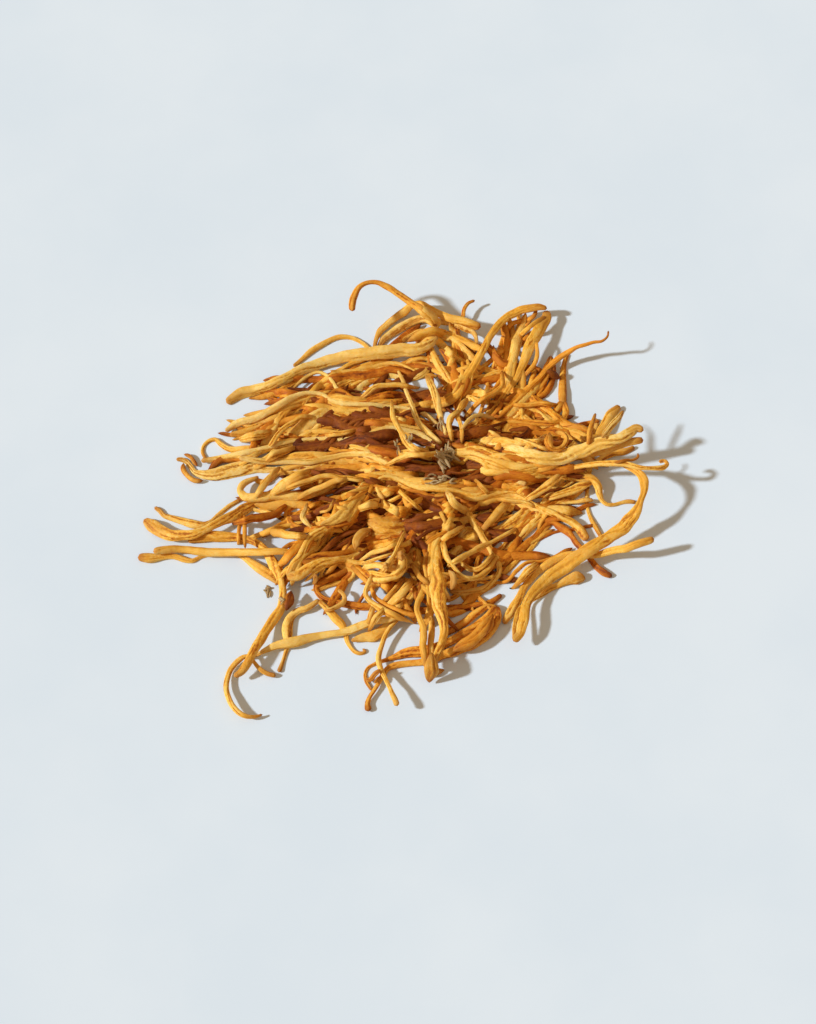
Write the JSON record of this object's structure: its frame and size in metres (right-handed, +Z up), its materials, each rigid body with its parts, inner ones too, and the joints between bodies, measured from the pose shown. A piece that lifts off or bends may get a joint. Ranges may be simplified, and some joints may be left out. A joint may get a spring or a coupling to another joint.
{
  "type": "dried cordyceps",
  "caption": "Tangled clump of dried, wrinkled, golden-orange fungus stalks with curled tips, lying loosely interlocked on a surface.",
  "frame": {"origin": "under the middle of the clump's bounding box, on the surface that it lies on", "axes": "+X to the right along the clump's longest extent, +Y away from the viewer, +Z up"},
  "size_m": [0.1581, 0.1449, 0.0142],
  "materials": {
    "pale_skin": "dry, finely wrinkled, pale golden yellow on its ridges",
    "golden_skin": "dry, wrinkled along its length, golden orange, slight sheen",
    "orange_skin": "dry, wrinkled, deep orange, slight sheen",
    "brown_skin": "dry, wrinkled, orange brown"
  },
  "bodies": {
    "root": {"shaded_cross": "brown_skin", "front_double": "orange_skin", "front_fork": "golden_skin", "lower_flat": "golden_skin", "front_ball_tip": "golden_skin", "front_pale_flat": "pale_skin", "front_tail": "golden_skin", "left_low_end": "golden_skin", "left_leg": "golden_skin", "left_lower_long": "golden_skin", "left_small_long": "golden_skin", "left_thick": "golden_skin", "inner_loop": "orange_skin", "base_clump": "golden_skin", "left_u_bend": "golden_skin", "left_flat_long": "pale_skin", "upper_left_thin_arch": "golden_skin", "upper_left_pointed": "orange_skin", "back_small_tip": "orange_skin", "back_pale_curl": "pale_skin", "back_inner_arch": "golden_skin", "back_stub": "golden_skin", "back_hook": "orange_skin", "left_low_flared": "golden_skin", "left_curved": "golden_skin", "left_loop": "golden_skin", "left_broad": "pale_skin", "middle_under": "orange_skin", "pale_cross": "pale_skin", "top_hanging_thin": "golden_skin", "top_dark": "brown_skin", "centre_diagonal": "golden_skin", "top_flat": "golden_skin", "top_arch": "golden_skin", "right_cut_short": "golden_skin", "right_fan": "golden_skin", "right_cut_flat": "golden_skin", "right_fork": "orange_skin", "right_thin_tip": "orange_skin", "left_long_thin": "pale_skin", "upper_left_thick": "pale_skin", "left_flared_long": "pale_skin", "thick_cut_stub": "golden_skin", "brown_under": "brown_skin", "middle_pale": "pale_skin", "middle_broad": "golden_skin", "middle_right": "golden_skin", "diagonal_curl": "golden_skin", "twisted_thin": "orange_skin", "front_left_strand": "golden_skin", "front_clump": "golden_skin", "right_torn": "orange_skin", "lower_long": "golden_skin", "middle_long": "pale_skin", "right_curved_thin": "golden_skin", "right_stub": "golden_skin", "right_arch": "golden_skin", "right_ring_tip": "golden_skin", "right_second": "golden_skin", "right_thick": "pale_skin"}
  },
  "joints": []
}
